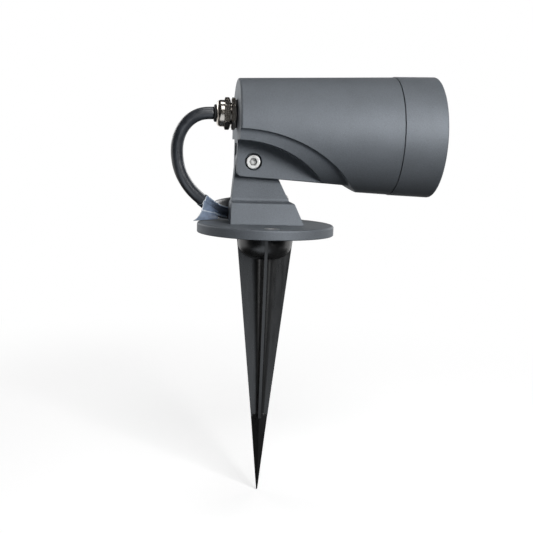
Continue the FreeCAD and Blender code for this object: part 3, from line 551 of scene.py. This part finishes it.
def powder_coat():
    """Anthracite powder coat with a fine sandy texture on a faintly wavy casting."""
    made, tree, shader = new_material("powder_coat", 0.62, 0.55)
    colour = (0.178, 0.196, 0.218)
    grain = noise(tree, 0.00034, 4)
    cloud = noise(tree, 0.019, 2)
    specks = ramp(tree, grain, (0.33, shade(colour, 0.80)), (0.5, colour), (0.70, shade(colour, 1.22)))
    patches = ramp(tree, cloud, (0.3, 0.94), (0.7, 1.04))
    roughness = ramp(tree, grain, (0.3, 0.58), (0.7, 0.67))
    edges = soft_edges(tree, 0.0004)
    wavy = bump(tree, cloud, 0.00015, 0.5, edges)
    sandy = bump(tree, grain, 0.00006, 0.55, wavy)
    bare = bare_sinks(tree)
    coated = mix(tree, 1.0, specks, patches, "MULTIPLY")
    colours = mix(tree, bare, coated, (0.80, 0.80, 0.81))
    finish(tree, shader, colours, mix(tree, bare, roughness, (0.4, 0.4, 0.4)), sandy)
    tree.links.new(ramp(tree, bare, (0, 0.55), (1, 1.0)), shader.inputs["Metallic"])
    return made


def moulded_plastic(name, colour, roughness, specular=0.4):
    """Moulded plastic with a faint drag along its length and an eroded, slightly uneven gloss."""
    made, tree, shader = new_material(name, roughness, specular=specular)
    drag = noise(tree, 0.0022, 3, (1, 1, 0.12))
    grain = noise(tree, 0.0004, 3)
    tones = ramp(tree, drag, (0.3, shade(colour, 0.82)), (0.7, shade(colour, 1.2)))
    gloss = ramp(tree, drag, (0.25, roughness - 0.05), (0.75, roughness + 0.07))
    uneven = bump(tree, drag, 0.00012, 0.35, soft_edges(tree, 0.00025))
    finish(tree, shader, tones, gloss, bump(tree, grain, 0.00002, 0.4, uneven))
    return made


def rubber(name, colour, roughness, grain_size=0.0005, specular=0.42):
    made, tree, shader = new_material(name, roughness, specular=specular)
    cloud = noise(tree, 0.006, 3)
    grain = noise(tree, grain_size, 3)
    tones = ramp(tree, cloud, (0.3, shade(colour, 0.8)), (0.7, shade(colour, 1.3)))
    gloss = ramp(tree, cloud, (0.3, roughness - 0.06), (0.7, roughness + 0.08))
    finish(tree, shader, tones, gloss, bump(tree, grain, 0.00003, 0.5))
    return made


def open_share(tree, reach):
    """1 on open surfaces and less in narrow recesses and corners, up to a given reach."""
    made = add(tree, "ShaderNodeAmbientOcclusion", samples=8)
    made.inputs["Distance"].default_value = reach
    return made.outputs["AO"]


def metal(name, colour, roughness, grain_size=0.0007, stretch=(1, 1, 1), edge=0.00015, painted_shade_reach=0.0012):
    """Bare or plated metal with fine tool marks, a smudged gloss and painted shade: its colour is
    darkened in recesses and corners where shade falls.
    """
    made, tree, shader = new_material(name, roughness, metallic=1.0)
    marks = noise(tree, grain_size, 3, stretch)
    smudge = noise(tree, 0.004, 3)
    tones = ramp(tree, smudge, (0.3, shade(colour, 0.86)), (0.7, shade(colour, 1.08)))
    gloss = ramp(tree, smudge, (0.3, roughness * 0.75), (0.7, roughness * 1.4))
    # Painted shade: the colour falls to near black in narrow recesses and corners, where shade falls.
    recess_painted_shade = ramp(tree, open_share(tree, painted_shade_reach), (0.45, 0.06), (0.85, 1.0))
    tones = mix(tree, 1.0, tones, recess_painted_shade, "MULTIPLY")
    finish(tree, shader, tones, gloss, bump(tree, marks, 0.00001, 0.5, soft_edges(tree, edge)))
    return made


def turned_steel():
    """Stainless screws, with turning marks, a smudged gloss and painted shade darkening their recesses.
    """
    return metal("steel", (0.66, 0.66, 0.65), 0.36, 0.0004, (1, 0.15, 1), painted_shade_reach=0.0022)


def clear_glass():
    made, tree, shader = new_material("clear_glass", 0.02)
    shader.inputs["Base Color"].default_value = (0.93, 0.97, 0.96, 1)
    shader.inputs["Transmission Weight"].default_value = 1.0
    shader.inputs["IOR"].default_value = 1.5
    smudge = noise(tree, 0.012, 3)
    finish(tree, shader, roughness=ramp(tree, smudge, (0.45, 0.01), (0.8, 0.07)))
    return made


def reflector_metal():
    """Vacuum-metallised reflector with a fine hammered surface that evens out the beam."""
    made, tree, shader = new_material("reflector_metal", 0.12, metallic=1.0)
    cells = add(tree, "ShaderNodeTexVoronoi", place_in(tree))
    cells.inputs["Scale"].default_value = reflector_cells
    tones = ramp(tree, noise(tree, 0.01, 2), (0.3, (0.80, 0.80, 0.79)), (0.7, (0.9, 0.9, 0.89)))
    finish(tree, shader, tones, normal=bump(tree, cells.outputs["Distance"], 0.0002, 0.45))
    return made


def phosphor():
    """Yellow phosphor over the LED chips, with the grid of chips showing faintly."""
    made, tree, shader = new_material("phosphor", 0.35)
    chips = add(tree, "ShaderNodeTexVoronoi", place_in(tree), distance="CHEBYCHEV")
    chips.inputs["Scale"].default_value = chip_cells
    chips.inputs["Randomness"].default_value = 0.0
    tones = ramp(tree, chips.outputs["Distance"], (0.25, (0.86, 0.62, 0.10)), (0.6, (0.80, 0.50, 0.06)))
    finish(tree, shader, tones, normal=bump(tree, noise(tree, 0.0008), 0.00005, 0.4))
    return made


def wire_colours(tree):
    """Brown on top, blue inside and earth colours outside, where the conductors leave the sheath."""
    end, heading = coil_end()
    out = Vector((heading.y, -heading.x, 0))
    centre = end + heading * core_lead_in - out * core_bend_r
    place = add(tree, "ShaderNodeTexCoord").outputs["Object"]
    apart = add(tree, "ShaderNodeVectorMath", place, operation="SUBTRACT")
    apart.inputs[1].default_value = centre

    def along(direction):
        made = add(tree, "ShaderNodeVectorMath", apart.outputs[0], operation="DOT_PRODUCT")
        made.inputs[1].default_value = direction
        return made.outputs["Value"]

    def above(value, limit):
        made = add(tree, "ShaderNodeMath", value, operation="GREATER_THAN")
        made.inputs[1].default_value = limit
        return made.outputs[0]

    ahead = add(tree, "ShaderNodeMath", along(heading), operation="MAXIMUM")
    ahead.inputs[1].default_value = 0.0
    curl = add(tree, "ShaderNodeCombineXYZ", ahead.outputs[0], along(out))
    reach = add(tree, "ShaderNodeVectorMath", curl.outputs[0], operation="LENGTH")
    stripe = above(along((0, 0, 1)), core_stripe_z)
    earth = mix(tree, stripe, (0.05, 0.26, 0.06), (0.72, 0.60, 0.06))
    low = mix(tree, above(reach.outputs["Value"], core_bend_r), (0.05, 0.15, 0.42), earth)
    return mix(tree, above(along((0, 0, 1)), core_top_z), low, (0.17, 0.07, 0.03))


def wire_cover():
    made, tree, shader = new_material("wire_cover", 0.4, specular=0.4)
    cloud = ramp(tree, noise(tree, 0.003), (0.3, 0.88), (0.7, 1.05))
    drawn = noise(tree, 0.0006, 2)
    colour = mix(tree, 1.0, wire_colours(tree), cloud, "MULTIPLY")
    gloss = ramp(tree, drawn, (0.3, 0.34), (0.7, 0.48))
    finish(tree, shader, colour, gloss, bump(tree, drawn, 0.00003, 0.3))
    return made


def inner_wire():
    """The insulation of the wires inside the head."""
    made, tree, shader = new_material("inner_wire", 0.42, specular=0.4)
    cloud = noise(tree, 0.003)
    tones = ramp(tree, cloud, (0.3, (0.30, 0.04, 0.03)), (0.7, (0.38, 0.06, 0.05)))
    finish(tree, shader, tones, normal=bump(tree, cloud, 0.00003, 0.3))
    return made


def matt_surface(name, colour, roughness, grain_size):
    """A plain matt surface with a fine grain, such as solder mask, a silicone pad or housing plastic."""
    made, tree, shader = new_material(name, roughness, specular=0.35)
    grain = noise(tree, grain_size, 3)
    tones = ramp(tree, grain, (0.3, shade(colour, 0.93)), (0.7, shade(colour, 1.05)))
    gloss = ramp(tree, grain, (0.3, roughness - 0.06), (0.7, roughness + 0.06))
    finish(tree, shader, tones, gloss, bump(tree, grain, 0.00003, 0.4, soft_edges(tree, 0.0002)))
    return made


def label_film():
    """Bluish clear film, milky where it is folded, welded or cut, and painted light there as a painted
    highlight.
    """
    made, tree, shader = new_material("label_film", 0.24, specular=0.6)
    milk_and_highlight = add(tree, "ShaderNodeAttribute", attribute_name="milk_and_highlight").outputs["Fac"]
    crease = noise(tree, 0.0026, 4)
    # The lightest stops give the painted highlights on the film's edges, seam and fold.
    tones = ramp(
        tree,
        milk_and_highlight,
        (0.1, (0.10, 0.13, 0.19)),
        (0.55, (0.22, 0.285, 0.40)),
        (0.75, (0.36, 0.43, 0.53)),
        (1.0, (0.74, 0.79, 0.84)),
    )
    worn = ramp(tree, crease, (0.3, 0.80), (0.7, 1.12))
    clear = ramp(tree, milk_and_highlight, (0.0, 0.22), (0.5, 0.82), (1.0, 0.95))
    finish(tree, shader, mix(tree, 1.0, tones, worn, "MULTIPLY"), normal=bump(tree, crease, 0.0003, 0.5))
    tree.links.new(clear, shader.inputs["Alpha"])
    return made


def black(value):
    return (value, value * 1.04, value * 1.1)


finishes = {
    "powder_coat": powder_coat(),
    "steel": turned_steel(),
    "black_plastic": moulded_plastic("black_plastic", black(0.015), 0.29, 0.9),
    "washer_plastic": moulded_plastic("washer_plastic", (0.62, 0.61, 0.57), 0.5),
    "clear_glass": clear_glass(),
    "seal_rubber": rubber("seal_rubber", black(0.014), 0.6),
    "bare_aluminium": metal("bare_aluminium", (0.72, 0.72, 0.73), 0.34, 0.0003, (1, 0.1, 1)),
    "grey_pad": matt_surface("grey_pad", (0.33, 0.34, 0.35), 0.8, 0.0006),
    "led_board": matt_surface("led_board", (0.80, 0.81, 0.79), 0.45, 0.0009),
    "phosphor": phosphor(),
    "white_plastic": matt_surface("white_plastic", (0.78, 0.78, 0.75), 0.5, 0.0005),
    "reflector_metal": reflector_metal(),
    "driver_case": matt_surface("driver_case", (0.55, 0.55, 0.53), 0.55, 0.0006),
    "nickel_brass": metal("nickel_brass", (0.62, 0.57, 0.51), 0.15, painted_shade_reach=0.0008),
    "wire_cover": wire_cover(),
    "tinned_copper": metal("tinned_copper", (0.66, 0.62, 0.57), 0.28, 0.0003),
    "cable_rubber": rubber("cable_rubber", (0.030, 0.035, 0.043), 0.34, specular=1.0),
    "label_film": label_film(),
}
inner_wires = inner_wire()

for subpart in frame["record"]["subparts"]:
    node = nodes[subpart["node"]]
    inside = subpart["node"] in ("supply_wires", "led_wires")
    for slot in node.material_slots:
        slot.material = inner_wires if inside else finishes[subpart["material_slot"]]

new_pieces = ((cable, "cable_rubber"), (label_sleeve, "label_film"), (label_flag, "label_film"))
for piece, finish_name in new_pieces:
    piece.data.materials.append(finishes[finish_name])

for piece in (cable, label_sleeve):
    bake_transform(piece)
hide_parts("cord_bend", "cord_lead", "cord_coil")
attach(label_flag, "base")
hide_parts("cord_label")


# Floor, light and background


def looks_at(tree, *kinds):
    """1 for the given kinds of rays, such as those that come straight or from a reflection."""
    path = add(tree, "ShaderNodeLightPath").outputs
    found = path[kinds[0]]
    for kind in kinds[1:]:
        found = add(tree, "ShaderNodeMath", found, path[kind], operation="MAXIMUM").outputs[0]
    return found


def shows_background(tree):
    return looks_at(tree, "Is Camera Ray", "Is Glossy Ray", "Is Transmission Ray")


def smooth_range(tree, value, start, end):
    """0 up to the start and 1 from the end on, with a soft passage between."""
    made = add(tree, "ShaderNodeMapRange", value, interpolation_type="SMOOTHSTEP")
    made.inputs["From Min"].default_value = start
    made.inputs["From Max"].default_value = end
    return made.outputs[0]


def pale_board(tree, parts):
    """How bright a board that lies on the floor, ahead and to the left, looks in a reflection."""
    ahead = smooth_range(tree, parts["Y"], -board_ahead[0], -board_ahead[1])
    inside = smooth_range(tree, parts["X"], *reversed(board_right))
    level = smooth_range(tree, parts["X"], *board_left)
    for factor in (ahead, inside, looks_at(tree, "Is Glossy Ray")):
        level = add(tree, "ShaderNodeMath", level, factor, operation="MULTIPLY").outputs[0]
    made = add(tree, "ShaderNodeMath", level, operation="MULTIPLY")
    made.inputs[1].default_value = board_strength
    return made.outputs[0]


def floor_material():
    """A white floor that melts into the white background further out, with a pale board on it."""
    made = bpy.data.materials.new("floor")
    made.use_nodes = True
    tree = made.node_tree
    tree.nodes.clear()
    place = add(tree, "ShaderNodeTexCoord").outputs["Object"]
    far = add(tree, "ShaderNodeVectorMath", place, operation="LENGTH")
    fade = smooth_range(tree, far.outputs["Value"], *floor_fade)
    parts = add(tree, "ShaderNodeSeparateXYZ", place).outputs
    behind = smooth_range(tree, parts["Y"], *floor_behind)
    straight = looks_at(tree, "Is Camera Ray", "Is Transmission Ray")
    reach = add(tree, "ShaderNodeMath", straight, behind, operation="MAXIMUM")
    white = add(tree, "ShaderNodeMath", fade, reach.outputs[0], operation="MULTIPLY")
    matt = add(tree, "ShaderNodeBsdfDiffuse")
    matt.inputs["Color"].default_value = (*floor_white, 1)
    dim = add(tree, "ShaderNodeBsdfDiffuse")
    dim.inputs["Color"].default_value = (*floor_dim, 1)
    glow = add(tree, "ShaderNodeEmission")
    lift = add(tree, "ShaderNodeEmission")
    faint = add(tree, "ShaderNodeMath", straight, operation="MULTIPLY")
    faint.inputs[1].default_value = floor_lift
    tree.links.new(faint.outputs[0], lift.inputs["Strength"])
    lit = add(tree, "ShaderNodeAddShader", matt.outputs[0], lift.outputs[0])
    near = add(tree, "ShaderNodeMixShader", white.outputs[0], lit.outputs[0], glow.outputs[0])
    mirrored = looks_at(tree, "Is Glossy Ray")
    glossy = add(tree, "ShaderNodeMath", mirrored, white.outputs[0], operation="MULTIPLY")
    shown = add(tree, "ShaderNodeMath", straight, glossy.outputs[0], operation="MAXIMUM")
    both = add(tree, "ShaderNodeMixShader", shown.outputs[0], dim.outputs[0], near.outputs[0])
    board = add(tree, "ShaderNodeEmission")
    board.inputs["Color"].default_value = (*board_tint, 1)
    tree.links.new(pale_board(tree, parts), board.inputs["Strength"])
    whole = add(tree, "ShaderNodeAddShader", both.outputs[0], board.outputs[0])
    add(tree, "ShaderNodeOutputMaterial", whole.outputs[0])
    return made


def make_floor():
    rim = ring(Vector((0, 0, 0)), Vector((1, 0, 0)), Vector((0, 1, 0)), floor_r, floor_sides)
    floor = new_object("floor", rim, [tuple(range(floor_sides))])
    floor.location.z = cad_box[0].z - floor_drop
    floor.data.materials.append(floor_material())


def backdrop(tree):
    """How bright the room is in a reflection: white low behind the object, a pale card by the camera."""
    way = add(tree, "ShaderNodeTexCoord").outputs["Generated"]
    parts = add(tree, "ShaderNodeSeparateXYZ", way).outputs
    behind = smooth_range(tree, parts["Y"], *backdrop_behind)
    high = smooth_range(tree, parts["Z"], *backdrop_top)
    low = add(tree, "ShaderNodeMath", operation="SUBTRACT")
    low.inputs[0].default_value = 1.0
    tree.links.new(high, low.inputs[1])
    screen = add(tree, "ShaderNodeMath", behind, low.outputs[0], operation="MULTIPLY").outputs[0]
    facing = add(tree, "ShaderNodeVectorMath", way, operation="DOT_PRODUCT")
    facing.inputs[1].default_value = Vector(card_way).normalized()
    seen = smooth_range(tree, facing.outputs["Value"], *card_spread)
    card = add(tree, "ShaderNodeMath", seen, operation="MULTIPLY")
    card.inputs[1].default_value = card_strength
    both = add(tree, "ShaderNodeMath", screen, card.outputs[0], operation="MAXIMUM")
    dim = add(tree, "ShaderNodeMath", both.outputs[0], operation="MAXIMUM")
    dim.inputs[1].default_value = room_gloss
    return dim.outputs[0]


def make_world():
    world = bpy.data.worlds.new("studio")
    scene.world = world
    world.use_nodes = True
    tree = world.node_tree
    tree.nodes.clear()
    room = add(tree, "ShaderNodeBackground")
    room.inputs["Color"].default_value = (*room_tint, 1)
    room.inputs["Strength"].default_value = room_light
    white = add(tree, "ShaderNodeBackground")
    white.inputs["Color"].default_value = (1, 1, 1, 1)
    straight = looks_at(tree, "Is Camera Ray", "Is Transmission Ray")
    level = add(tree, "ShaderNodeMath", straight, backdrop(tree), operation="MAXIMUM")
    tree.links.new(level.outputs[0], white.inputs["Strength"])
    both = add(tree, "ShaderNodeMixShader", shows_background(tree), room.outputs[0], white.outputs[0])
    add(tree, "ShaderNodeOutputWorld", both.outputs[0])


def make_lamp(name, place, width, height, power):
    data = bpy.data.lights.new(name, "AREA")
    data.shape = "RECTANGLE"
    data.size = width
    data.size_y = height
    data.energy = power
    lamp = bpy.data.objects.new(name, data)
    scene.collection.objects.link(lamp)
    aim = Vector(lamp_target) - Vector(place)
    lamp.matrix_world = Matrix.Translation(place) @ aim.to_track_quat("-Z", "Y").to_matrix().to_4x4()


make_floor()
make_world()
for lamp_name, lamp_sizes in lamps.items():
    make_lamp(lamp_name, *lamp_sizes)
